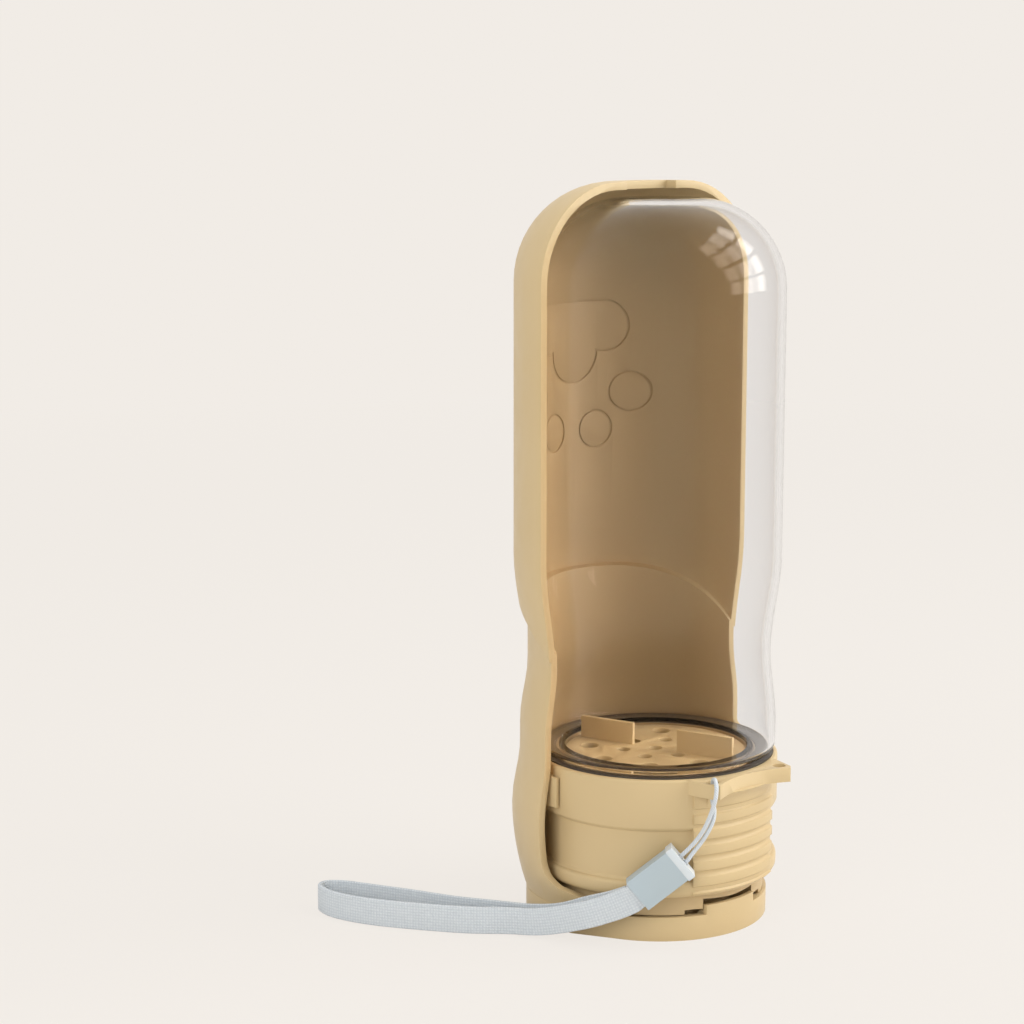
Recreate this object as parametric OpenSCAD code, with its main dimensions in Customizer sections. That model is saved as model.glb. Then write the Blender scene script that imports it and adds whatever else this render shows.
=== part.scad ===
/* [Bottle] */
// Outer radius of the clear bottle
bottle_r = 36; // [35:0.1:37]
// Wall of the bottle
bottle_wall = 1.6; // [1.2:0.1:1.8]
// Height from the floor to the top of the bottle
bottle_top = 208.8; // [190:0.1:225]
// Corner radius of the domed end of the bottle
dome_r = 26; // [24:0.5:30]
// Height of the narrowest part of the grip waist
waist_z = 79; // [77:0.5:84]
// How far the grip waist is drawn in
waist_in = 2.8; // [1:0.1:3.2]
// Outer radius of the threaded neck
neck_r = 28.5; // [27.8:0.1:28.8]
// Length of the neck below the shoulder
neck_len = 17; // [14:0.5:18]

/* [Trough] */
// Side gap between the bottle and the trough
trough_gap = 3.6; // [3.3:0.1:5]
// Wall of the trough
trough_wall = 2.2; // [1.8:0.1:2.4]
// How far behind the bottle's axis the open side lies
rim_y = 3.9; // [3.4:0.1:5]
// Gap between the dome of the bottle and the hood of the trough
hood_gap = 2.2; // [2:0.1:5]
// Corner radius of the hood
hood_r = 28; // [27:0.5:30]
// Half width of the finger notch in the hood
notch_w = 9.6; // [6:0.2:12]
// Depth of the finger notch in the hood
notch_d = 4; // [2:0.5:6]
// Height of the arched shoulder at the back
arch_z = 94.5; // [92:0.5:98]
// Height of the base cup
cup_h = 7; // [6.6:0.1:7.4]
// Depth of the paw relief in the trough
relief = 0.5; // [0.3:0.1:0.8]

/* [Collar] */
// How far the collar's skin lies inside the bottle's
collar_step = 0.3; // [0:0.1:0.6]
// Underside of the collar
skirt_z = 13.2; // [12.8:0.1:14]
// Height of the collar from its underside to its deck
collar_h = 34.8; // [33:0.1:36]
// Height of the bead below the finger recess
bead_h = 5.1; // [4.5:0.1:7]
// Height of the plain band above the finger recess
band_h = 14.5; // [12:0.1:16]
// Depth of the finger recess
recess_d = 1.7; // [1:0.1:2]
// Half angle of the ribbed grip
grip_a = 26; // [20:1:28]
// Number of grooves in the grip
groove_n = 6; // [4:1:7]
// Thickness of the thumb ledge
ledge_t = 4.1; // [3.5:0.1:5]
// Reach of the ledge's two horns from the axis
ledge_reach = 41; // [40.5:0.1:41.2]
// Radius of the two eyelets in the ledge
eyelet_r = 1.9; // [1.6:0.1:1.9]
// Height of the side catches
catch_h = 8.8; // [6:0.2:9]

/* [Hinge] */
// Half width of the hinge tab
tab_w = 9.4; // [8.8:0.1:10]
// Height of the hinge tab above the base cup
tab_rise = 2.8; // [1.5:0.1:3]
// Radius of the hinge pin
pin_r = 1; // [0.8:0.1:1.1]
// Half width of the fixed knuckle
lug_w = 4; // [3:0.1:5]

/* [Filter] */
// Thickness of the filter cover
cover_t = 1.6; // [1.2:0.1:2]
// Height of the two twist blades
blade_h = 6.5; // [4:0.5:9]
// Radius of the outer holes
hole_r = 2.7; // [1.5:0.1:3]
// Radius of the inner holes
small_hole_r = 2; // [1:0.1:2.2]
// Thickness of the carbon filter
carbon_t = 9.6; // [6:0.2:10]

/* [Lanyard] */
// Width of the wrist webbing
web_w = 8; // [6:0.1:8.2]
// Thickness of the webbing
web_t = 1.2; // [0.8:0.1:1.3]
// Diameter of the lanyard cord
cord_d = 1.2; // [0.8:0.1:1.3]
// Length of the clip
clip_len = 16.4; // [15:0.2:18]
// Thickness of the clip
clip_t = 4.6; // [4.4:0.1:5]

/* [Hidden] */
$fn = 96;

tan_plastic = [0.86, 0.76, 0.57];
clear = [0.85, 0.9, 0.92, 0.35];
silicone = [0.9, 0.9, 0.88];
dark_rubber = [0.25, 0.25, 0.26];
webbing = [0.75, 0.8, 0.83];
steel = [0.75, 0.76, 0.78];
carbon = [0.15, 0.15, 0.16];

fit = 0.4;          // clearance between moulded parts that are slipped together
run = 0.05;         // running clearance of the hinge
touch = 0.1;        // gap between pieces that rest on each other
over = 1;           // how far a cut runs past the surface that it opens
far = 400;          // past every part

// Points of a round corner about a centre, from one angle to another
function arc(cx, cz, r, from, to, steps) =
    [for (i = [0:steps]) let (a = from + (to - from) * i / steps) [cx + r * cos(a), cz + r * sin(a)]];

// A smooth rise from 0 at a to 1 at b
function ease(z, a, b) = let (u = min(1, max(0, (z - a) / (b - a)))) u * u * (3 - 2 * u);

function inset(points, d) = [for (p = points) [p[0] - d, p[1]]];

// Levels of the stack, from the floor up
collar_r = bottle_r - collar_step;
deck_z = skirt_z + collar_h;
shoulder_z = deck_z + 0.6;
neck_z = shoulder_z - neck_len;
seat_z = neck_z - 3;
seal_t = 1;
sleeve_z = seat_z + seal_t + 2 * touch;
lip_z = cup_h + fit;
floor_z = 3.6;

// Bottle
shoulder_r = bottle_r - 1;
shoulder_corner = 3;
waist_rise = 27;
waist_fall = 22;
bore_r = neck_r - bottle_wall;
function bottle_rad(z) = z > waist_z
    ? bottle_r - waist_in * (1 - ease(z, waist_z, waist_z + waist_rise))
    : bottle_r - waist_in + (waist_in - bottle_r + shoulder_r) * ease(waist_z - z, 0, waist_fall);
flank = [for (z = [shoulder_z + 4:4:waist_z + waist_rise]) [bottle_rad(z), z]];

// Trough: the upper skin is drawn in towards the arch, the lower one swells round the collar
trough_r = bottle_r + trough_gap + trough_wall;
trough_top = bottle_top + hood_gap + trough_wall;
trough_in = trough_r - trough_wall;
arch_bow = 0.0125;
arch_draw = 3.6;
upper_lo = arch_z - 20;
upper_hi = arch_z + 12;
upper_skin = [for (z = [upper_lo:4:upper_hi])
    [trough_r - arch_draw * (1 - ease(z, upper_lo, upper_hi)), z]];
belly_z = 32;
belly_r = trough_r + 0.4;
foot_r = trough_r - 3.8;
shelf_z = belly_z + 18;
shelf_in = 2.3;
throat_z = 75;
throat_in = 2.2;
lower_hi = arch_z + 8;
function lower_rad(z) = z < belly_z
    ? belly_r - (belly_r - foot_r) * pow((belly_z - z) / (belly_z - cup_h), 2)
    : belly_r - shelf_in * ease(z, belly_z, shelf_z) - throat_in * ease(z, shelf_z + 7, throat_z);
lower_skin = concat([for (z = [cup_h:2.5:belly_z]) [lower_rad(z), z]],
    [for (z = [belly_z + 4:4:throat_z + 1]) [lower_rad(z), z]]);

// Base cup: a half circle under the trough, drawn in by two tangents to a smaller front
front_r = collar_r - 2.7;
tangent_a = acos(front_r / foot_r);
tangent_lean = 14;
side_r = front_r + 3.6;
side_y = 3;
side_lean = 23;
side_bite = 0.05;   // how far inside the front circle the straight sides end, so that they cross it
foot_step = 0.1;    // the trough's foot stands this far in from the edge of the cup
rim_slope = 22;
rim_fillet = 8;

// Hinge behind the front tab
knuckle_r = pin_r + run + 1.05;
pin_gap = 0.3;
tab_wall = 1.4;
tab_top = cup_h + tab_rise;
pin_y = knuckle_r + pin_gap + tab_wall - front_r;
pin_z = cup_h - 1.5;
knuckle_w = tab_w - 0.4;
pocket_r = norm([front_r + pin_y, tab_top - pin_z]) + fit;
shoulder_pocket_r = norm([sqrt(front_r * front_r - tab_w * tab_w) + pin_y, cup_h - pin_z]) + fit;
pocket_w = tab_w + fit;
shoulder_pocket_w = 15;

// Collar
collar_in = collar_r - 3.4;
deck_t = 3.4;
sleeve_r = neck_r + fit;
sleeve_wall = 2;
grip_r = collar_r + 0.5;
groove_r = 1.15;
groove_lo = skirt_z + 2.7;
groove_pitch = (deck_z - ledge_t - groove_lo - 0.7) / groove_n;
horn_x = 15;
ledge_end_x = 17.2;
ledge_hollow = 3.7;
eyelet_x = 13.4;
eyelet_y = ledge_reach - 3.9;
catch_hi = deck_z - 3;
catch_y = 4.4;
catch_reach = lower_rad(catch_hi) - trough_wall - fit;

// Bottle seal, in a groove of the deck
seal_in = sleeve_r + 0.5;
seal_out = shoulder_r - 0.6;
seal_groove = 0.8;

// Neck base
housing_r = collar_in - 0.3;
housing_wall = 2;
spigot_r = front_r - trough_wall - 2.2;
seat_in = 23.5;
outlet_r = 5.5;
valve_r = 7;
nozzle_r = 9;
nozzle_h = 9;
valve_z = floor_z + 3;
valve_t = 1.4;

// Filter
cup_out = bore_r - fit;
cup_wall = 1.5;
cup_floor = seat_z + touch;
cover_z = deck_z - cover_t;
cover_skirt = 1.6;
media_r = cup_out - cup_wall - fit;
carbon_z = cup_floor + cup_wall + touch;
pad_z = carbon_z + carbon_t + touch;
strainer_pitch = 6.6;
strainer_r = 1.5;
blade_a = 18.7 - 90;
blade_t = 1.4;
blade_in = 7.3;
blade_out = 25;

// Lanyard, with its clip hanging beside the grip
clip_at = [-25.5, -29, 21];
clip_pitch = 39;
clip_az = -42;
clip_w = web_w + 2;
strand_gap = 1.6;
cord_gap = 2.2;
strap_route = [
    [-29, -26.9, 17.7], [-30.8, -25.3, 15.8], [-32.3, -23.9, 14.4], [-35.2, -19.2, 11.6],
    [-39.5, -13.6, 9], [-43.6, -5.2, 6.1], [-46.6, 0.8, 4.7], [-50.6, 7.5, 4.2], [-58.7, 15.4, 4.1],
    [-65.7, 24.3, 4.1], [-71.5, 32.5, 4.1], [-75.3, 38.6, 4.1], [-77.9, 44.1, 4.1],
    [-79.5, 48.8, 4.1], [-80.3, 53.3, 4.1], [-80, 57, 4.1], [-79, 59.8, 4.1], [-76.6, 60.9, 4.1],
    [-74.3, 59.9, 4.1], [-71.5, 56.8, 4.1], [-68.7, 51.6, 4.1], [-65.3, 44.9, 4.1],
    [-61.9, 38.3, 4.1], [-58.4, 30.6, 4.1], [-55.1, 23.9, 4.1], [-51.4, 18, 4.1],
    [-47.4, 11.6, 4.1], [-44.2, 6, 4.2], [-42, 1, 4.9], [-40.4, -3.6, 6],
    [-38.6, -7.8, 7.6], [-36.6, -12, 9.5], [-32.9, -18.2, 11.9], [-30.9, -23.1, 14.4],
    [-29.7, -24.1, 15.8], [-28, -25.7, 17.7]];
cord_route = [
    [-22.8, -31.5, 25.5], [-21.3, -32.8, 27.1], [-20.2, -34.3, 29], [-18.8, -36.4, 32],
    [-17.7, -38.3, 35.5], [-17.1, -40, 39.5], [-16.9, -41.6, 44], [-16.2, -41.5, 47.6],
    [-14.9, -39.6, 49.4], [-13.6, -37.5, 48.6], [-13.4, -37.1, 46], [-13.4, -37.2, 42.5],
    [-14.2, -38.8, 40.4], [-15.4, -39.6, 38], [-16.2, -38.7, 35], [-17.2, -37, 31.5],
    [-18.7, -35, 28], [-20.3, -33.8, 25.3], [-21.7, -32.5, 23.8]];

// ---------- common shapes ----------
// A cylinder about the hinge axis
module about_pin(r, half) {
    translate([-half, pin_y, pin_z]) rotate([0, 90, 0]) cylinder(h = 2 * half, r = r);
}

module ring(outer, inner, z, h) {
    translate([0, 0, z]) difference() {
        cylinder(h = h, r = outer);
        translate([0, 0, -over]) cylinder(h = h + 2 * over, r = inner);
    }
}

// A slice of the front, to either side of -Y
module front_slice(half_a) {
    reach = 60;
    linear_extrude(far) polygon([[0, 0], [-reach * tan(half_a), -reach], [reach * tan(half_a), -reach]]);
}

// ---------- trough with its base cup ----------
// Everything within the two leaning tangents that draw the base in towards the front, and within
// the leaning cone that rounds off the corners where they start
module within_tangents(d) {
    h = lower_hi - cup_h;
    intersection() {
        translate([0, side_y, cup_h]) cylinder(h = h, r1 = side_r - d, r2 = side_r - d + h * tan(side_lean));
        intersection_for (a = [-tangent_a, 180 + tangent_a])
            rotate([0, 0, a]) translate([front_r - d, 0, cup_h])
            rotate([0, tangent_lean, 0]) translate([-far, -far / 2, -far / 2]) cube([far, far, far]);
    }
}

module cup_form(d, z0, z1) {
    tx = (front_r - d - side_bite) * cos(tangent_a);
    ty = (front_r - d - side_bite) * sin(tangent_a);
    ax = (front_r - d) / cos(tangent_a);
    translate([0, 0, z0]) linear_extrude(z1 - z0) intersection() {
        union() {
            circle(r = front_r - d);
            intersection() {
                circle(r = foot_r - d);
                translate([-far / 2, 0]) square([far, far / 2]);
            }
            polygon([[-ax, 0], [-tx, -ty], [tx, -ty], [ax, 0]]);
        }
        translate([0, side_y]) circle(r = side_r - d);
    }
}

// The side outline of the trough: an upright rim, a fillet and a foot that slopes to the front
module behind_rim() {
    foot_y = -front_r * sin(tangent_a) - 0.5;
    fillet_y = rim_y - rim_fillet;
    fillet_z = cup_h + tan(rim_slope) * (fillet_y + rim_fillet * sin(rim_slope) - foot_y)
        + rim_fillet * cos(rim_slope);
    rotate([90, 0, 90]) translate([0, 0, -far / 2]) linear_extrude(far) polygon(concat(
        [[trough_r + over, cup_h - over], [foot_y - over / tan(rim_slope), cup_h - over]],
        arc(fillet_y, fillet_z, rim_fillet, rim_slope - 90, 0, 5),
        [[rim_y, trough_top + over], [trough_r + over, trough_top + over]]));
}

// Everything above the arch that parts the upper skin from the lower one
module above_arch(lift) {
    rotate([90, 0, 90]) translate([0, 0, -far / 2]) linear_extrude(far) polygon(concat(
        [for (y = [rim_y - 2:2.5:trough_in]) [y, arch_z + lift - arch_bow * pow(trough_in - y, 2)]],
        [[trough_r + over, arch_z + lift], [trough_r + over, far], [rim_y - 2, far]]));
}

module hood(d) {
    rotate_extrude() polygon(concat([[0, upper_lo]], inset(upper_skin, d),
        arc(trough_r - hood_r, trough_top - hood_r, hood_r - d, 0, 90, 14),
        [[0, trough_top - d]]));
}

module apron(d) {
    rotate_extrude() polygon(concat([[0, cup_h]], inset(lower_skin, d),
        [[belly_r - shelf_in - throat_in - d, lower_hi], [0, lower_hi]]));
}

module trough_form(d) {
    intersection() {
        hood(d);
        above_arch(d);
    }
    intersection() {
        apron(d);
        within_tangents(d + foot_step);
    }
}

// The three lobes of the paw's main pad, grown by a margin
module pad_outline(grow) {
    translate([0, 4]) circle(r = 10 + grow);
    for (s = [-1, 1]) translate([s * 12, -3]) circle(r = 8 + grow);
    translate([-12, -11 - grow]) square([24, 14 + grow]);
}

// Creases of a paw, seen upside down on the inner back wall
module paw() {
    crease = 0.8;
    intersection() {
        translate([0, trough_r, 0]) rotate([90, 0, 0]) linear_extrude(trough_r - rim_y) {
            translate([0, 166]) mirror([0, 1]) difference() {
                pad_outline(0);
                pad_outline(-crease);
            }
            for (toe = [[19.7, 149, 6.3], [9, 138, 6]]) for (s = [-1, 1])
                translate([s * toe[0], toe[1]]) difference() {
                    circle(r = toe[2]);
                    circle(r = toe[2] - crease);
                }
        }
        ring(trough_in + relief, trough_in - over, 120, 70);
    }
}

module trough_knuckles() {
    from_x = lug_w + pin_gap;
    width = knuckle_w - from_x;
    intersection() {
        for (x = [from_x, -knuckle_w]) translate([x, 0, 0]) {
            translate([0, pin_y, pin_z]) rotate([0, 90, 0]) cylinder(h = width, r = knuckle_r);
            translate([0, -front_r, over]) cube([width, front_r + pin_y + knuckle_r, pin_z - over]);
            translate([0, -front_r, pin_z]) cube([width, front_r + pin_y, cup_h - pin_z]);
        }
        cylinder(h = far, r = front_r - tab_wall / 2);
    }
}

module trough() {
    color(tan_plastic) difference() {
        union() {
            intersection() {
                difference() {
                    trough_form(0);
                    trough_form(trough_wall);
                    translate([0, 0, cup_h]) cylinder(h = skirt_z - cup_h, r = housing_r + fit);
                }
                behind_rim();
            }
            difference() {
                cup_form(0, 0, cup_h);
                cup_form(trough_wall, trough_wall, cup_h + over);
            }
            intersection() {
                ring(front_r, front_r - tab_wall, cup_h - over, tab_rise + over);
                translate([-tab_w, -far, 0]) cube([2 * tab_w, far, far]);
            }
            trough_knuckles();
        }
        about_pin(pin_r + run, knuckle_w + over);
        about_pin(knuckle_r + pin_gap, lug_w + pin_gap);
        translate([-notch_w, rim_y - over, bottle_top]) cube([2 * notch_w, notch_d + over, far]);
        paw();
    }
}

// Soft plug on the floor of the base cup, which closes the outlet while the trough is shut
module outlet_plug() {
    pad_top = floor_z - 2 * touch;
    color(silicone) {
        translate([0, 0, trough_wall]) cylinder(h = pad_top - trough_wall, r = nozzle_r + over);
        translate([0, 0, trough_wall]) cylinder(h = valve_z - trough_wall - 1.6, r = outlet_r - fit);
    }
}

module hinge_pin() {
    color(steel) about_pin(pin_r, knuckle_w);
}

// ---------- collar ----------
module collar_skin() {
    bead_r = 2.2;
    lip_r = 1.2;
    recess_lo = skirt_z + bead_h;
    recess_hi = deck_z - band_h;
    rotate_extrude() polygon(concat(
        [[collar_in, skirt_z]],
        arc(collar_r - bead_r, skirt_z + bead_r, bead_r, -90, 0, 5),
        arc(collar_r - lip_r, recess_lo - lip_r, lip_r, 0, 90, 4),
        [[collar_r - recess_d, recess_lo + 0.8], [collar_r - recess_d, recess_hi - 0.8]],
        [[collar_r - 0.4, recess_hi], [collar_r, recess_hi + 0.8]],
        arc(collar_r - 0.8, deck_z - 0.8, 0.8, 0, 90, 3),
        [[sleeve_r, deck_z], [sleeve_r, deck_z - deck_t], [collar_in, deck_z - deck_t]]));
}

module grip_panel() {
    top = deck_z - ledge_t / 2;
    intersection() {
        rotate_extrude() difference() {
            polygon([[collar_in, skirt_z + 0.6], [grip_r - 1, skirt_z + 0.6], [grip_r, skirt_z + 1.6],
                [grip_r, top], [collar_in, top]]);
            for (i = [0:groove_n - 1])
                translate([grip_r + 0.5, groove_lo + i * groove_pitch]) circle(r = groove_r, $fn = 24);
        }
        front_slice(grip_a);
    }
}

// Thumb ledge: two horns with a hollow front between them, blended into the grip below
module ledge() {
    under = deck_z - ledge_t;
    blend = 4;
    translate([0, 0, under]) linear_extrude(ledge_t) difference() {
        polygon(concat(
            [[ledge_end_x, -collar_in / 1.2], [ledge_end_x, -collar_in - 1]],
            [[horn_x + 0.6, 1.4 - ledge_reach], [horn_x - 0.8, -ledge_reach]],
            [for (x = [12:-3:-12]) [x, ledge_hollow * (1 - pow(x / (horn_x - 1), 2)) - ledge_reach]],
            [[0.8 - horn_x, -ledge_reach], [-horn_x - 0.6, 1.4 - ledge_reach]],
            [[-ledge_end_x, -collar_in - 1], [-ledge_end_x, -collar_in / 1.2]]));
        circle(r = collar_in + 0.4);
    }
    intersection() {
        rotate_extrude() difference() {
            translate([collar_in, under - blend]) square([ledge_reach - collar_in - 2.5, blend + 0.2]);
            translate([ledge_reach, under - blend - 0.2]) circle(r = blend + 0.8, $fn = 40);
        }
        front_slice(grip_a - 6);
    }
}

// Springy catch on the flank: a strip that stands off the skin and bears on the trough
module side_catch() {
    back = catch_y + 2.4;
    reach = sqrt(catch_reach * catch_reach - back * back);
    strip = 0.9;
    translate([0, 0, catch_hi - catch_h]) linear_extrude(catch_h)
        polygon([[collar_r - 2.6, back], [reach, back], [reach, catch_y - 2.4],
            [reach - strip, catch_y - 2.4], [reach - strip, catch_y + 1], [collar_r - 2.6, catch_y + 1]]);
}

module collar() {
    color(tan_plastic) difference() {
        union() {
            collar_skin();
            grip_panel();
            ledge();
            side_catch();
            mirror([1, 0, 0]) side_catch();
            ring(sleeve_r + sleeve_wall, sleeve_r, sleeve_z, deck_z - deck_t / 2 - sleeve_z);
        }
        ring(seal_out + touch, seal_in - touch, deck_z - seal_groove, seal_groove + over);
        for (s = [-1, 1]) translate([s * eyelet_x, -eyelet_y, deck_z - 2 * ledge_t - 2])
            cylinder(h = far, r = eyelet_r);
    }
}

// ---------- neck base, outlet and valve ----------
// Solid bridge round the hinge pocket, so that the pocket doesn't open into the water
module pocket_block() {
    half = shoulder_pocket_w + housing_wall;
    inner_y = pin_y + pocket_r + housing_wall;
    top = pin_z + pocket_r + housing_wall;
    intersection() {
        translate([-half, -far, floor_z]) cube([2 * half, far + inner_y, top - floor_z]);
        union() {
            cylinder(h = far, r = spigot_r);
            translate([0, 0, lip_z]) cylinder(h = far, r = housing_r);
        }
    }
}

module fixed_knuckle() {
    about_pin(knuckle_r, lug_w);
    translate([-lug_w, pin_y, floor_z]) cube([2 * lug_w, pocket_r + over, pin_z + 1.4 - floor_z]);
}

module neck_base() {
    seat_t = 2.4;
    housing_in = housing_r - housing_wall;
    spigot_in = spigot_r - housing_wall;
    profile = [[outlet_r, floor_z], [spigot_r, floor_z], [spigot_r, lip_z], [housing_r, lip_z],
        [housing_r, seat_z], [seat_in, seat_z], [seat_in, seat_z - seat_t], [housing_in, seat_z - seat_t],
        [housing_in, lip_z + housing_wall], [spigot_in, lip_z + housing_wall],
        [spigot_in, floor_z + housing_wall], [outlet_r, floor_z + housing_wall]];
    color(tan_plastic) difference() {
        union() {
            difference() {
                union() {
                    rotate_extrude() polygon(profile);
                    ring(nozzle_r, outlet_r, floor_z, nozzle_h);
                    pocket_block();
                }
                about_pin(pocket_r, pocket_w);
                about_pin(shoulder_pocket_r, shoulder_pocket_w);
            }
            fixed_knuckle();
        }
        about_pin(pin_r + run, lug_w + over);
        translate([0, 0, valve_z]) cylinder(h = nozzle_h, r = valve_r);
    }
}

module housing_seal() {
    color(dark_rubber) ring(sleeve_r + sleeve_wall, cup_out + touch, seat_z + touch, seal_t);
}

module slit_valve() {
    z = valve_z + touch;
    color(silicone) rotate_extrude() polygon([[0, z + 0.8], [3, z], [valve_r - touch, z],
        [valve_r - touch, z + valve_t], [3.4, z + valve_t], [0, z + 0.8 + valve_t]]);
}

module valve_retainer() {
    color(tan_plastic) ring(valve_r - touch, outlet_r - 0.5, valve_z + valve_t + 2 * touch, 3.2);
}

// ---------- bottle ----------
module bottle_form(d) {
    bottom = d > 0 ? neck_z - over : neck_z;
    corner_r = shoulder_r - shoulder_corner;
    polygon(concat([[0, bottom], [neck_r - d, bottom], [neck_r - d, shoulder_z + d]],
        arc(corner_r, shoulder_z + shoulder_corner, shoulder_corner - d, -90, 0, 5),
        inset(flank, d),
        arc(bottle_r - dome_r, bottle_top - dome_r, dome_r - d, 0, 90, 14),
        [[0, bottle_top - d]]));
}

module bottle() {
    color(clear) rotate_extrude() difference() {
        bottle_form(0);
        bottle_form(bottle_wall);
    }
}

module bottle_seal() {
    height = shoulder_z - deck_z + seal_groove - 3 * touch;
    color(dark_rubber) ring(seal_out, seal_in, deck_z - seal_groove + touch, height);
}

// ---------- filter ----------
module filter_cup() {
    color(tan_plastic) difference() {
        translate([0, 0, cup_floor]) cylinder(h = cover_z - touch - cup_floor, r = cup_out);
        translate([0, 0, cup_floor + cup_wall]) cylinder(h = far, r = cup_out - cup_wall);
        translate([0, 0, cup_floor - over]) {
            cylinder(h = 4, r = strainer_r, $fn = 24);
            for (k = [1:3]) for (i = [0:6 * k - 1]) rotate([0, 0, i * 60 / k])
                translate([k * strainer_pitch, 0, 0]) cylinder(h = 4, r = strainer_r, $fn = 24);
        }
    }
}

module carbon_filter() {
    color(carbon) translate([0, 0, carbon_z]) cylinder(h = carbon_t, r = media_r);
}

module filter_pad() {
    color(silicone) translate([0, 0, pad_z]) cylinder(h = cover_z - cover_skirt - touch - pad_z, r = media_r);
}

// Perforated cover with two upright blades in line, to turn it by
module filter_cover() {
    color(tan_plastic) difference() {
        union() {
            translate([0, 0, cover_z]) cylinder(h = cover_t, r = cup_out);
            ring(media_r, media_r - cup_wall, cover_z - cover_skirt, cover_skirt + 0.4);
            rotate([0, 0, blade_a]) for (a = [0, 180]) rotate([0, 0, a])
                translate([blade_in, -blade_t / 2, deck_z - 0.4])
                cube([blade_out - blade_in, blade_t, blade_h + 0.4]);
        }
        rotate([0, 0, blade_a]) {
            for (i = [0:7]) rotate([0, 0, 22.5 + i * 45]) translate([19.5, 0, 0])
                cylinder(h = far, r = hole_r, $fn = 40);
            for (i = [0:5]) rotate([0, 0, 40 + i * 60]) translate([9.6, 0, 0])
                cylinder(h = far, r = small_hole_r, $fn = 32);
            cylinder(h = far, r = small_hole_r, $fn = 32);
        }
    }
}

// ---------- lanyard ----------
// A smooth curve through a route's points
function curve_point(a, b, c, d, t) = 0.5 * (2 * b + (c - a) * t + (2 * a - 5 * b + 4 * c - d) * t * t
    + (3 * b - a - 3 * c + d) * t * t * t);
function curve(route, steps) = let (n = len(route) - 1) concat(
    [for (i = [0:n - 1]) for (k = [0:steps - 1])
        curve_point(route[max(0, i - 1)], route[i], route[i + 1], route[min(n, i + 2)], k / steps)],
    [route[n]]);
function unit(v) = v / norm(v);

// A section swept along a line; up is the way that the section's second axis leans
module sweep(line, section, up) {
    n = len(line);
    m = len(section);
    rings = [for (i = [0:n - 1])
        let (along = unit(line[min(n - 1, i + 1)] - line[max(0, i - 1)]),
            v = unit(up - (up * along) * along), u = cross(v, along))
        for (p = section) line[i] + p[0] * u + p[1] * v];
    sides = [for (i = [0:n - 2]) for (j = [0:m - 1]) let (a = i * m + j, b = i * m + (j + 1) % m)
        each [[a, b, b + m], [a, b + m, a + m]]];
    polyhedron(rings, concat(sides, [[for (j = [m - 1:-1:0]) j]], [[for (j = [0:m - 1]) (n - 1) * m + j]]));
}

module lanyard_cord() {
    sideways = [0.94, -0.34, 0];
    section = [for (i = [0:7]) cord_d / 2 * [cos(i * 45), sin(i * 45)]];
    color(webbing) sweep(curve(cord_route, 4), section, sideways);
}

module wrist_strap() {
    x = web_t / 2;
    y = web_w / 2;
    soft = 0.3;
    section = [[x, soft - y], [x, y - soft], [x - soft, y], [soft - x, y],
        [-x, y - soft], [-x, soft - y], [soft - x, -y], [x - soft, -y]];
    color(webbing) sweep(curve(strap_route, 2), section, [0, 0, 1]);
}

// Crimped clip: webbing in its low end, cord in its high end, which has a thicker band
module lanyard_clip() {
    slot = 5;
    band = 2.2;
    color(webbing) translate(clip_at) rotate([0, -clip_pitch, clip_az]) difference() {
        union() {
            cube([clip_len, clip_t, clip_w], center = true);
            translate([(clip_len - band) / 2, 0, 0]) cube([band, clip_t + 0.6, clip_w + 0.6], center = true);
        }
        translate([(slot - clip_len) / 2 - over / 2, 0, 0])
            cube([slot + over, strand_gap + web_t + 2 * fit, web_w + 2 * fit], center = true);
        for (s = [-1, 1]) translate([clip_len / 2 - slot, 0, s * cord_gap / 2]) rotate([0, 90, 0])
            cylinder(h = slot + over, r = cord_d / 2 + fit);
    }
}

trough();
outlet_plug();
hinge_pin();
collar();
neck_base();
housing_seal();
slit_valve();
valve_retainer();
bottle_seal();
bottle();
filter_cup();
carbon_filter();
filter_pad();
filter_cover();
lanyard_cord();
lanyard_clip();
wrist_strap();
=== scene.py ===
"""Looks of a dog travel water bottle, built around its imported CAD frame. Lengths are in metres."""

import math

import bmesh
import bpy
from mathutils import Matrix, Vector


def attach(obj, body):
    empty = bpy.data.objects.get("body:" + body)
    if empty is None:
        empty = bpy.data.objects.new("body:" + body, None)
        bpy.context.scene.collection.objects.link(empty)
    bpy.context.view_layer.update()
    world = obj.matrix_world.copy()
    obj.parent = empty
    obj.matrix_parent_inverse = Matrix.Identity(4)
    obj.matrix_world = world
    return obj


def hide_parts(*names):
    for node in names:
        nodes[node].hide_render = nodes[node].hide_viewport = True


MM = 0.001

# Colours, as linear values
TAN = (0.60, 0.462, 0.258)
# The same tan plastic made darker: painted shade for the recessed neck base and valve retainer
TAN_SHADED = (0.55, 0.415, 0.23)
BACKDROP = (0.880, 0.838, 0.790)
CLEAR = (0.945, 0.947, 0.955)
# Specular tint that dims and warms the bottle's face-on reflection, so the hollow behind it reads darker
CLEAR_DIMMED_REFLECTION = (0.36, 0.28, 0.20)
# Tint of lamplight passing through the bottle: painted shade that darkens and warms the trough's hollow
CLEAR_PAINTED_SHADE = (0.80, 0.70, 0.58)
SEAL_DARK = (0.046, 0.039, 0.033)
SILICONE = (0.74, 0.73, 0.70)
CARBON = (0.030, 0.031, 0.033)
PAD_WHITE = (0.78, 0.77, 0.73)
STEEL = (0.62, 0.63, 0.65)
WEB_LIGHT = (0.65, 0.695, 0.73)
WEB_DARK = (0.50, 0.55, 0.60)
CLIP_BODY = (0.45, 0.54, 0.60)
CLIP_PALE = (0.64, 0.70, 0.75)
STRING_LIGHT = (0.62, 0.67, 0.72)
STRING_DARK = (0.45, 0.49, 0.54)

# Camera
AZIMUTH = math.radians(-43.8)
CAMERA_REACH = 0.70
CAMERA_HEIGHT = 0.239
LENS = 86.1
TURN_LEFT = math.radians(3.46)
TILT_DOWN = math.radians(9.8)

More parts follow.
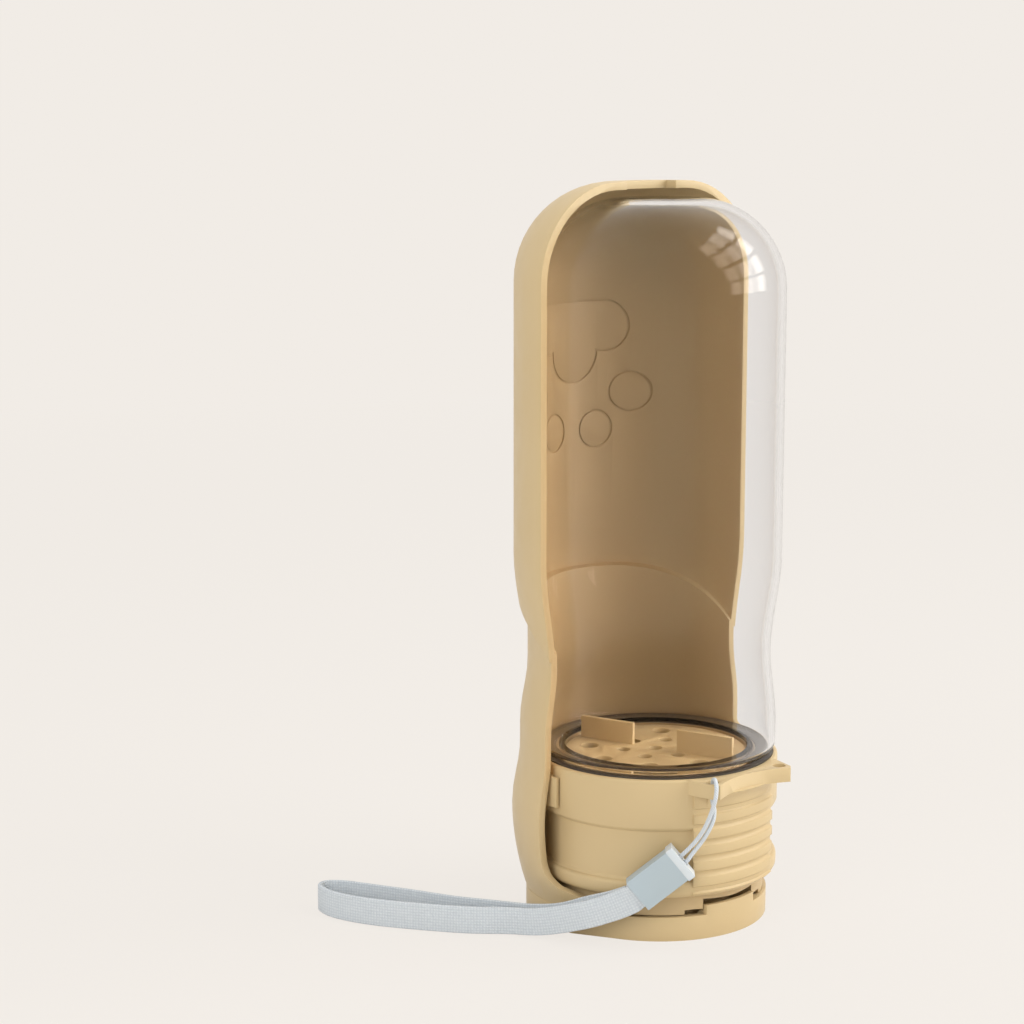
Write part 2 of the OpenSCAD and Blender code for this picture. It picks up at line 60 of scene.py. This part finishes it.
# Light
LIT_POINT = Vector((0, 0, 0.1))
SKY_STRENGTH = 0.42
SKY_WHITE = (1.0, 0.985, 0.965)
WINDOW_WHITE = (1, 0.99, 0.97)
FILL_WHITE = (1, 0.985, 0.96)
WINDOW_PLACE = Vector((0.75, -0.75, 0.75))
WINDOW_SIZE = (1.1, 1.4)
WINDOW_WATTS = 17.5
FLOOR_HALF = 8

# How far the edges of each moulding are rounded
TROUGH_EDGE = 0.35 * MM
COLLAR_EDGE = 0.3 * MM
LID_EDGE = 0.25 * MM
CLIP_EDGE = 0.5 * MM

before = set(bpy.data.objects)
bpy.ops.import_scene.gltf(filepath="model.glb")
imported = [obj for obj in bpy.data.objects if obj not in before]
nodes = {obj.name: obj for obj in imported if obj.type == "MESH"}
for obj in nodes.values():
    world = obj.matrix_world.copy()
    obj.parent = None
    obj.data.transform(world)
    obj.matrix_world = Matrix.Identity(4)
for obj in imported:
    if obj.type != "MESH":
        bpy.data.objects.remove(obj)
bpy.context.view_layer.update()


# ---------- camera ----------
def make_camera():
    back = Vector((math.sin(AZIMUTH), -math.cos(AZIMUTH), 0))
    right = Vector((math.cos(AZIMUTH), math.sin(AZIMUTH), 0))
    level = -back * math.cos(TURN_LEFT) - right * math.sin(TURN_LEFT)
    sight = level * math.cos(TILT_DOWN) - Vector((0, 0, math.sin(TILT_DOWN)))
    camera = bpy.data.objects.new("camera", bpy.data.cameras.new("camera"))
    bpy.context.scene.collection.objects.link(camera)
    camera.location = back * CAMERA_REACH + Vector((0, 0, CAMERA_HEIGHT))
    camera.rotation_mode = "QUATERNION"
    camera.rotation_quaternion = sight.to_track_quat("-Z", "Y")
    camera.data.lens = LENS
    camera.data.clip_start = 0.05
    camera.data.clip_end = 50
    bpy.context.scene.camera = camera


make_camera()


# ---------- material kit ----------
class Recipe:
    """A material's node tree, with its Principled shader at hand."""

    def __init__(self, name, colour, roughness):
        self.material = bpy.data.materials.new(name)
        self.material.use_nodes = True
        self.tree = self.material.node_tree
        self.shader = self.tree.nodes["Principled BSDF"]
        self.output = self.tree.nodes["Material Output"]
        self.set(self.shader, **{"Base Color": (*colour, 1), "Roughness": roughness})

    def set(self, node, **values):
        for socket, value in values.items():
            node.inputs[socket].default_value = value

    def node(self, kind, **properties):
        made = self.tree.nodes.new(kind)
        for key, value in properties.items():
            setattr(made, key, value)
        return made

    def link(self, source, target):
        self.tree.links.new(source, target)

    def coordinates(self, output="Object"):
        return self.node("ShaderNodeTexCoord").outputs[output]

    def noise(self, scale, detail=3.0, stretch=(1, 1, 1)):
        mapping = self.node("ShaderNodeMapping")
        mapping.inputs["Scale"].default_value = stretch
        self.link(self.coordinates(), mapping.inputs["Vector"])
        texture = self.node("ShaderNodeTexNoise")
        self.set(texture, Scale=scale, Detail=detail)
        self.link(mapping.outputs["Vector"], texture.inputs["Vector"])
        return texture.outputs["Fac"]

    def ramp(self, value, low, high, to_low, to_high):
        span = self.node("ShaderNodeMapRange")
        for socket, number in (("From Min", low), ("From Max", high),
                               ("To Min", to_low), ("To Max", to_high)):
            span.inputs[socket].default_value = number
        self.link(value, span.inputs["Value"])
        return span.outputs["Result"]

    def blend(self, value, first, second):
        mix = self.node("ShaderNodeMix", data_type="RGBA")
        mix.inputs["A"].default_value = (*first, 1)
        mix.inputs["B"].default_value = (*second, 1)
        self.link(value, mix.inputs["Factor"])
        return mix.outputs["Result"]

    def math(self, operation, first, second=None):
        node = self.node("ShaderNodeMath", operation=operation)
        for socket, value in zip(node.inputs, (first, second)):
            if value is None:
                continue
            if isinstance(value, (int, float)):
                socket.default_value = value
            else:
                self.link(value, socket)
        return node.outputs[0]

    def colour(self, socket):
        self.link(socket, self.shader.inputs["Base Color"])

    def roughness(self, socket):
        self.link(socket, self.shader.inputs["Roughness"])

    def bump(self, height, distance, strength=1.0):
        bump = self.node("ShaderNodeBump")
        self.set(bump, Strength=strength, Distance=distance)
        self.link(height, bump.inputs["Height"])
        self.link(bump.outputs["Normal"], self.shader.inputs["Normal"])


def moulded_plastic(name, colour, roughness):
    """Satin moulded plastic: a fine spark-eroded grain, soft flow clouds and uneven gloss."""
    recipe = Recipe(name, colour, roughness)
    recipe.set(recipe.shader, **{"Specular IOR Level": 0.36})
    clouds = recipe.noise(14, 2)
    deeper = tuple(c * s for c, s in zip(colour, (0.955, 0.94, 0.91)))
    recipe.colour(recipe.blend(recipe.ramp(clouds, 0.35, 0.7, 0, 1), colour, deeper))
    recipe.roughness(recipe.ramp(recipe.noise(160, 4), 0.3, 0.7, roughness - 0.05, roughness + 0.06))
    recipe.bump(recipe.noise(3200, 2), 0.02 * MM, 0.35)
    return recipe.material


def clear_plastic():
    """Clear blown plastic, with faint waves and fine scuffs. Lamplight passing through it is dimmed and
    warmed, which is painted shade on the hollow behind it, and its face-on reflection is dimmed with a warm
    tint.
    """
    recipe = Recipe("clear_bottle_plastic", CLEAR, 0.02)
    recipe.set(recipe.shader, **{"Transmission Weight": 1.0, "IOR": 1.36,
                                 "Specular Tint": (*CLEAR_DIMMED_REFLECTION, 1)})
    recipe.roughness(recipe.ramp(recipe.noise(120, 5, stretch=(1, 1, 0.15)), 0.45, 0.8, 0.004, 0.03))
    recipe.bump(recipe.noise(22, 1, stretch=(1, 1, 0.35)), 0.00016, 0.5)
    # Shadow rays pass the bottle dimmed and warmed: painted shade in the hollow behind it
    shaded_lamplight = recipe.node("ShaderNodeBsdfTransparent")
    recipe.set(shaded_lamplight, Color=(*CLEAR_PAINTED_SHADE, 1))
    path = recipe.node("ShaderNodeLightPath")
    mix = recipe.node("ShaderNodeMixShader")
    recipe.link(path.outputs["Is Shadow Ray"], mix.inputs[0])
    recipe.link(recipe.shader.outputs[0], mix.inputs[1])
    recipe.link(shaded_lamplight.outputs[0], mix.inputs[2])
    recipe.link(mix.outputs[0], recipe.output.inputs["Surface"])
    return recipe.material


def rubber(name, colour, roughness):
    recipe = Recipe(name, colour, roughness)
    recipe.roughness(recipe.ramp(recipe.noise(300, 4), 0.3, 0.7, roughness - 0.08, roughness + 0.08))
    recipe.bump(recipe.noise(1400, 3), 0.00003, 0.5)
    recipe.colour(recipe.blend(recipe.noise(60, 3), colour, tuple(c * 1.25 for c in colour)))
    return recipe.material


def granules(name, colour, pale, scale, depth):
    """Pressed grains or fibres, for the carbon block and the filter pad."""
    recipe = Recipe(name, colour, 0.9)
    cells = recipe.node("ShaderNodeTexVoronoi")
    recipe.set(cells, Scale=scale)
    recipe.link(recipe.coordinates(), cells.inputs["Vector"])
    recipe.colour(recipe.blend(recipe.ramp(cells.outputs["Distance"], 0.1, 0.8, 0, 1), pale, colour))
    recipe.bump(cells.outputs["Distance"], depth, 0.8)
    return recipe.material


def brushed_steel():
    recipe = Recipe("pin_steel", STEEL, 0.3)
    recipe.set(recipe.shader, Metallic=1.0)
    recipe.roughness(recipe.ramp(recipe.noise(900, 3, stretch=(0.05, 1, 1)), 0.3, 0.7, 0.2, 0.42))
    return recipe.material


def woven_webbing():
    """Plain weave along the piece's own map: u runs along the webbing and v across it, in metres."""
    pitch = 0.85 * MM
    recipe = Recipe("webbing_weave", WEB_LIGHT, 0.85)
    split = recipe.node("ShaderNodeSeparateXYZ")
    recipe.link(recipe.coordinates("UV"), split.inputs[0])
    along = recipe.math("MULTIPLY", split.outputs["X"], math.pi / pitch)
    across = recipe.math("MULTIPLY", split.outputs["Y"], math.pi / pitch)
    warp = recipe.math("SINE", along)
    weft = recipe.math("SINE", across)
    over = recipe.math("MULTIPLY", warp, weft)
    raised = recipe.math("ABSOLUTE", over)
    fibres = recipe.noise(1500, 5)
    height = recipe.math("ADD", recipe.math("MULTIPLY", raised, 0.45), recipe.math("MULTIPLY", fibres, 0.7))
    tone = recipe.ramp(height, 0.25, 0.85, 0, 1)
    recipe.colour(recipe.blend(tone, WEB_DARK, WEB_LIGHT))
    recipe.set(recipe.shader, **{"Sheen Weight": 0.25, "Sheen Roughness": 0.5})
    recipe.bump(height, 0.00016, 0.8)
    return recipe.material


def twisted_string():
    """Laid string: strands that wind round it, along the piece's own map."""
    recipe = Recipe("string_strands", STRING_LIGHT, 0.55)
    split = recipe.node("ShaderNodeSeparateXYZ")
    recipe.link(recipe.coordinates("UV"), split.inputs[0])
    lead = recipe.math("ADD", recipe.math("MULTIPLY", split.outputs["X"], math.tau / (1.3 * MM)),
                       recipe.math("MULTIPLY", split.outputs["Y"], math.tau * 2 / (math.pi * 1.2 * MM)))
    strands = recipe.math("ABSOLUTE", recipe.math("SINE", lead))
    recipe.colour(recipe.blend(recipe.ramp(strands, 0.05, 0.6, 0, 1), STRING_DARK, STRING_LIGHT))
    recipe.bump(strands, 0.00009, 0.8)
    recipe.set(recipe.shader, **{"Sheen Weight": 0.2})
    return recipe.material


tan = moulded_plastic("tan_plastic", TAN, 0.4)
# Darker copy of the tan: painted shade on the recessed neck base and valve retainer
tan_shaded = moulded_plastic("tan_plastic_neck_shaded", TAN_SHADED, 0.46)
clear = clear_plastic()
seal_rubber = rubber("seal_rubber", SEAL_DARK, 0.42)
white_silicone = rubber("white_silicone", SILICONE, 0.5)
carbon_block = granules("carbon_block", CARBON, (0.08, 0.08, 0.085), 900, 0.0004)
pad_fibre = granules("pad_fibre", PAD_WHITE, (0.60, 0.59, 0.55), 1300, 0.0002)
steel = brushed_steel()
weave = woven_webbing()
string = twisted_string()
clip_plastic = moulded_plastic("clip_plastic", CLIP_BODY, 0.38)
# Paler colour for the upper end of the clip
clip_pale = moulded_plastic("clip_pale_end", CLIP_PALE, 0.32)


# ---------- piece kit ----------
def finish_piece(bm, name, material, body, sharp=32):
    """Turns a bmesh into a piece: smooth faces, edges over the sharp angle kept crisp."""
    bm.normal_update()
    for face in bm.faces:
        face.smooth = True
    for edge in bm.edges:
        edge.smooth = not (edge.is_manifold and edge.calc_face_angle() > math.radians(sharp))
    mesh = bpy.data.meshes.new(name)
    bm.to_mesh(mesh)
    bm.free()
    mesh.materials.append(material)
    piece = bpy.data.objects.new(name, mesh)
    bpy.context.scene.collection.objects.link(piece)
    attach(piece, body)
    return piece


def merged(node):
    """A merged copy of a CAD node's triangles, with its flat faces made whole again."""
    bm = bmesh.new()
    bm.from_mesh(nodes[node].data)
    bmesh.ops.remove_doubles(bm, verts=bm.verts, dist=0.002 * MM)
    bmesh.ops.dissolve_limit(bm, angle_limit=math.radians(0.4), verts=bm.verts, edges=bm.edges,
                             delimit={"NORMAL"})
    return bm


def softened(node, name, material, body, edge, sharp=32):
    """A merged copy of a CAD node with its crisp edges rounded, which stands for that node."""
    bm = merged(node)
    crisp = [e for e in bm.edges if e.is_manifold and e.calc_face_angle() > math.radians(sharp)]
    bmesh.ops.bevel(bm, geom=crisp, offset=edge, offset_type="OFFSET", segments=2, profile=0.5,
                    affect="EDGES", clamp_overlap=True, material=-1)
    piece = finish_piece(bm, name, material, body, sharp)
    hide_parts(node)
    return piece


def turned(profile, name, material, body, steps=128, sharp=32):
    """A closed outline of (radius, height) points turned about the bottle's axis."""
    bm = bmesh.new()
    ring = [bm.verts.new((r, 0, z)) for r, z in profile]
    edges = [bm.edges.new(pair) for pair in zip(ring, ring[1:] + ring[:1])]
    bmesh.ops.spin(bm, geom=ring + edges, cent=(0, 0, 0), axis=(0, 0, 1), angle=math.tau,
                   steps=steps, use_merge=True)
    bmesh.ops.remove_doubles(bm, verts=bm.verts, dist=0.001 * MM)
    bmesh.ops.recalc_face_normals(bm, faces=bm.faces)
    return finish_piece(bm, name, material, body, sharp)


def paint(node, material):
    """Gives a CAD node that stays in view its finish."""
    nodes[node].data.materials.clear()
    nodes[node].data.materials.append(material)


# ---------- cords ----------
WEB_ROUTE = [
    (-29, -26.9, 17.7), (-30.8, -25.3, 15.8), (-32.3, -23.9, 14.4), (-35.2, -19.2, 11.6),
    (-39.5, -13.6, 9), (-43.6, -5.2, 6.1), (-46.6, 0.8, 4.7), (-50.6, 7.5, 4.2), (-58.7, 15.4, 4.1),
    (-65.7, 24.3, 4.1), (-71.5, 32.5, 4.1), (-75.3, 38.6, 4.1), (-77.9, 44.1, 4.1),
    (-79.5, 48.8, 4.1), (-80.3, 53.3, 4.1), (-80, 57, 4.1), (-79, 59.8, 4.1), (-76.6, 60.9, 4.1),
    (-74.3, 59.9, 4.1), (-71.5, 56.8, 4.1), (-68.7, 51.6, 4.1), (-65.3, 44.9, 4.1),
    (-61.9, 38.3, 4.1), (-58.4, 30.6, 4.1), (-55.1, 23.9, 4.1), (-51.4, 18, 4.1),
    (-47.4, 11.6, 4.1), (-44.2, 6, 4.2), (-42, 1, 4.9), (-40.4, -3.6, 6),
    (-38.6, -7.8, 7.6), (-36.6, -12, 9.5), (-32.9, -18.2, 11.9), (-30.9, -23.1, 14.4),
    (-29.7, -24.1, 15.8), (-28, -25.7, 17.7)]
STRING_ROUTE = [
    (-22.8, -31.5, 25.5), (-21.3, -32.8, 27.1), (-20.2, -34.3, 29), (-18.8, -36.4, 32),
    (-17.7, -38.3, 35.5), (-17.1, -40, 39.5), (-16.9, -41.6, 44), (-16.2, -41.5, 47.6),
    (-14.9, -39.6, 49.4), (-13.6, -37.5, 48.6), (-13.4, -37.1, 46), (-13.4, -37.2, 42.5),
    (-14.2, -38.8, 40.4), (-15.4, -39.6, 38), (-16.2, -38.7, 35), (-17.2, -37, 31.5),
    (-18.7, -35, 28), (-20.3, -33.8, 25.3), (-21.7, -32.5, 23.8)]
WEB_WIDTH = 8 * MM
WEB_THICK = 1.2 * MM
STRING_WIDTH = 1.2 * MM


def smooth_line(route, steps):
    """A Catmull-Rom line through a route's points, in metres."""
    points = [Vector(p) * MM for p in route]
    line = []
    for i in range(len(points) - 1):
        a, b = points[max(0, i - 1)], points[i]
        c, d = points[i + 1], points[min(len(points) - 1, i + 2)]
        for k in range(steps):
            t = k / steps
            line.append(0.5 * (2 * b + (c - a) * t + (2 * a - 5 * b + 4 * c - d) * t * t
                               + (3 * b - a - 3 * c + d) * t ** 3))
    return line + [points[-1]]


def swept(name, line, section, up, material, body):
    """A section swept along a line, with a map whose u is the run along it and v the run round it."""
    bm = bmesh.new()
    uv = bm.loops.layers.uv.new("UVMap")
    round_run = [0.0]
    for a, b in zip(section, section[1:] + section[:1]):
        round_run.append(round_run[-1] + math.dist(a, b))
    rings, runs = [], [0.0]
    for i, point in enumerate(line):
        along = (line[min(len(line) - 1, i + 1)] - line[max(0, i - 1)]).normalized()
        v = (up - up.dot(along) * along).normalized()
        u = v.cross(along)
        rings.append([bm.verts.new(point + p[0] * u + p[1] * v) for p in section])
        if i:
            runs.append(runs[-1] + (point - line[i - 1]).length)
    count = len(section)
    for i in range(len(line) - 1):
        for j in range(count):
            k = (j + 1) % count
            face = bm.faces.new((rings[i][j], rings[i][k], rings[i + 1][k], rings[i + 1][j]))
            places = ((i, j), (i, j + 1), (i + 1, j + 1), (i + 1, j))
            for loop, (a, b) in zip(face.loops, places):
                loop[uv].uv = (runs[a], round_run[b])
    bm.faces.new(rings[0][::-1])
    bm.faces.new(rings[-1])
    bmesh.ops.recalc_face_normals(bm, faces=bm.faces)
    return finish_piece(bm, name, material, body, 60)


def rounded_band(width, thick, corner, steps=3):
    """The outline of a flat band, with round corners."""
    outline = []
    for sx, sy, start in ((1, 1, 0), (-1, 1, 90), (-1, -1, 180), (1, -1, 270)):
        for k in range(steps + 1):
            angle = math.radians(start + 90 * k / steps)
            outline.append((sx * (thick / 2 - corner) + corner * math.cos(angle),
                            sy * (width / 2 - corner) + corner * math.sin(angle)))
    return outline


web_line = smooth_line(WEB_ROUTE, 6)
string_line = smooth_line(STRING_ROUTE, 6)
webbing = swept("wrist_webbing", web_line, rounded_band(WEB_WIDTH, WEB_THICK, 0.45 * MM),
                Vector((0, 0, 1)), weave, "cap")
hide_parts("wrist_strap")
cord_string = swept("lanyard_string", string_line,
                    [(STRING_WIDTH / 2 * math.cos(math.tau * k / 14),
                      STRING_WIDTH / 2 * math.sin(math.tau * k / 14)) for k in range(14)],
                    Vector((0.94, -0.34, 0)), string, "cap")
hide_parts("lanyard_cord")


# ---------- clip ----------
CLIP_PLACE = Vector((-25.5, -29, 21)) * MM
CLIP_PITCH = math.radians(39)
CLIP_TURN = math.radians(-42)
CLIP_LENGTH = 16.4 * MM
CLIP_BAND = 2.4 * MM


def make_clip():
    clip = softened("lanyard_clip", "webbing_clip", clip_plastic, "cap", CLIP_EDGE, 40)
    clip.data.materials.append(clip_pale)
    along = (Matrix.Rotation(CLIP_TURN, 3, "Z") @ Matrix.Rotation(-CLIP_PITCH, 3, "Y")) @ Vector((1, 0, 0))
    # Faces within CLIP_BAND of the clip's upper end take the paler colour
    for polygon in clip.data.polygons:
        if (polygon.center - CLIP_PLACE).dot(along) > CLIP_LENGTH / 2 - CLIP_BAND:
            polygon.material_index = 1
    return clip


clip = make_clip()


# ---------- hard pieces ----------
softened("trough", "drinking_trough", tan, "trough", TROUGH_EDGE)
softened("collar", "bottle_collar", tan, "cap", COLLAR_EDGE)
softened("filter_cover", "filter_lid", tan, "filter_cover", LID_EDGE)


def make_bottle():
    """The clear bottle: one smooth wall, turned from its outer and inner outlines, in millimetres."""
    shoulder_z, neck_z, neck_r = 48.6, 31.6, 28.5
    top, dome, radius, corner, wall = 208.8, 26, 36, 3, 1.6
    waist_z, waist_in, rise, fall = 79, 2.8, 27, 22

    def eased(z, a, b):
        u = min(1, max(0, (z - a) / (b - a)))
        return u * u * (3 - 2 * u)

    def wall_r(z):
        if z > waist_z:
            return radius - waist_in * (1 - eased(z, waist_z, waist_z + rise))
        return radius - waist_in + (waist_in - 1) * eased(waist_z - z, 0, fall)

    def outline(inset):
        points = [(neck_r - inset, neck_z), (neck_r - inset, shoulder_z + inset)]
        centre_r = radius - 1 - corner
        for k in range(9):
            angle = math.radians(-90 + 90 * k / 8)
            points.append((centre_r + (corner - inset) * math.cos(angle),
                           shoulder_z + corner + (corner - inset) * math.sin(angle)))
        points += [(wall_r(z) - inset, z) for z in range(53, 107, 2)]
        for k in range(25):
            angle = math.radians(90 * k / 24)
            points.append((radius - dome + (dome - inset) * math.cos(angle),
                           top - dome + (dome - inset) * math.sin(angle)))
        return points + [(0, top - inset)]

    profile = outline(0) + outline(wall)[::-1]
    return turned([(r * MM, z * MM) for r, z in profile], "clear_bottle", clear,
                  "bottle", 160, 50)


bottle = make_bottle()
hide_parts("bottle")

# neck_base and valve_retainer take the darker tan, which is painted shade
for node, material in (("outlet_plug", white_silicone), ("hinge_pin", steel), ("neck_base", tan_shaded),
                       ("housing_seal", seal_rubber), ("slit_valve", white_silicone),
                       ("valve_retainer", tan_shaded), ("bottle_seal", seal_rubber),
                       ("filter_cup", tan), ("carbon_filter", carbon_block), ("filter_pad", pad_fibre)):
    paint(node, material)


# ---------- floor and light ----------
def seen_directly(tree):
    """1 for what the eye sees, also in or through a surface; 0 for rays that carry light to one."""
    path = tree.nodes.new("ShaderNodeLightPath")

    def joined(operation, first, second):
        node = tree.nodes.new("ShaderNodeMath")
        node.operation = operation
        tree.links.new(first, node.inputs[0])
        if isinstance(second, float):
            node.inputs[1].default_value = second
        else:
            tree.links.new(second, node.inputs[1])
        return node.outputs[0]

    mirrored = joined("MAXIMUM", path.outputs["Is Glossy Ray"], path.outputs["Is Transmission Ray"])
    seen = joined("MAXIMUM", path.outputs["Is Camera Ray"], mirrored)
    return joined("MULTIPLY", seen, joined("LESS_THAN", path.outputs["Diffuse Depth"], 0.5))


def make_floor():
    bm = bmesh.new()
    bmesh.ops.create_grid(bm, x_segments=1, y_segments=1, size=FLOOR_HALF)
    mesh = bpy.data.meshes.new("floor")
    bm.to_mesh(mesh)
    bm.free()
    floor = bpy.data.objects.new("floor", mesh)
    bpy.context.scene.collection.objects.link(floor)
    recipe = Recipe("floor_paper", (0.8, 0.77, 0.73), 0.9)
    glow = recipe.node("ShaderNodeEmission")
    recipe.set(glow, Color=(*BACKDROP, 1), Strength=1.0)
    reach = recipe.node("ShaderNodeVectorMath", operation="LENGTH")
    recipe.link(recipe.coordinates(), reach.inputs[0])
    share = recipe.node("ShaderNodeMixShader")
    recipe.link(recipe.ramp(reach.outputs["Value"], 0.3, 1.2, 0.9, 1.0), share.inputs[0])
    recipe.link(recipe.shader.outputs[0], share.inputs[1])
    recipe.link(glow.outputs[0], share.inputs[2])
    seen = seen_directly(recipe.tree)
    pick = recipe.node("ShaderNodeMixShader")
    recipe.link(seen, pick.inputs[0])
    recipe.link(recipe.shader.outputs[0], pick.inputs[1])
    recipe.link(share.outputs[0], pick.inputs[2])
    recipe.link(pick.outputs[0], recipe.output.inputs["Surface"])
    mesh.materials.append(recipe.material)


def make_world():
    world = bpy.data.worlds.new("studio")
    bpy.context.scene.world = world
    world.use_nodes = True
    tree = world.node_tree
    light = tree.nodes["Background"]
    light.inputs["Color"].default_value = (*SKY_WHITE, 1)
    light.inputs["Strength"].default_value = SKY_STRENGTH
    backdrop = tree.nodes.new("ShaderNodeBackground")
    backdrop.inputs["Color"].default_value = (*BACKDROP, 1)
    mix = tree.nodes.new("ShaderNodeMixShader")
    tree.links.new(seen_directly(tree), mix.inputs[0])
    tree.links.new(light.outputs[0], mix.inputs[1])
    tree.links.new(backdrop.outputs[0], mix.inputs[2])
    tree.links.new(mix.outputs[0], tree.nodes["World Output"].inputs["Surface"])


def make_lamp(name, place, size, watts, tint=(1, 1, 1), mirrored=False):
    """A soft box that faces the bottle. Only a mirrored one shows in glossy surfaces."""
    data = bpy.data.lights.new(name, "AREA")
    data.shape = "RECTANGLE"
    data.size, data.size_y = size
    data.energy = watts
    data.color = tint
    lamp = bpy.data.objects.new(name, data)
    bpy.context.scene.collection.objects.link(lamp)
    lamp.location = place
    lamp.rotation_mode = "QUATERNION"
    lamp.rotation_quaternion = (LIT_POINT - lamp.location).to_track_quat("-Z", "Y")
    lamp.visible_glossy = mirrored
    lamp.visible_transmission = mirrored


def make_window(place, size, watts, tint, across=3, up=4, bar=0.2):
    """A window of panes, whose grid shows in the shoulder of the bottle."""
    turn = (LIT_POINT - place).to_track_quat("-Z", "Y")
    side, rise = turn @ Vector((1, 0, 0)), turn @ Vector((0, 1, 0))
    pane = (size[0] / across, size[1] / up)
    for i in range(across):
        for j in range(up):
            middle = (place + side * pane[0] * (i - (across - 1) / 2)
                      + rise * pane[1] * (j - (up - 1) / 2))
            make_lamp(f"window_pane_{i}_{j}", middle, (pane[0] * (1 - bar), pane[1] * (1 - bar)),
                      watts / (across * up), tint, True)


make_floor()
make_world()
make_window(WINDOW_PLACE, WINDOW_SIZE, WINDOW_WATTS, WINDOW_WHITE)
make_lamp("fill_box", Vector((-1.1, -0.35, 0.6)), (0.8, 0.8), 7.5, FILL_WHITE)
make_lamp("top_box", Vector((0.1, 0.2, 1.2)), (0.8, 0.8), 4)

bpy.context.scene.view_settings.view_transform = "Standard"
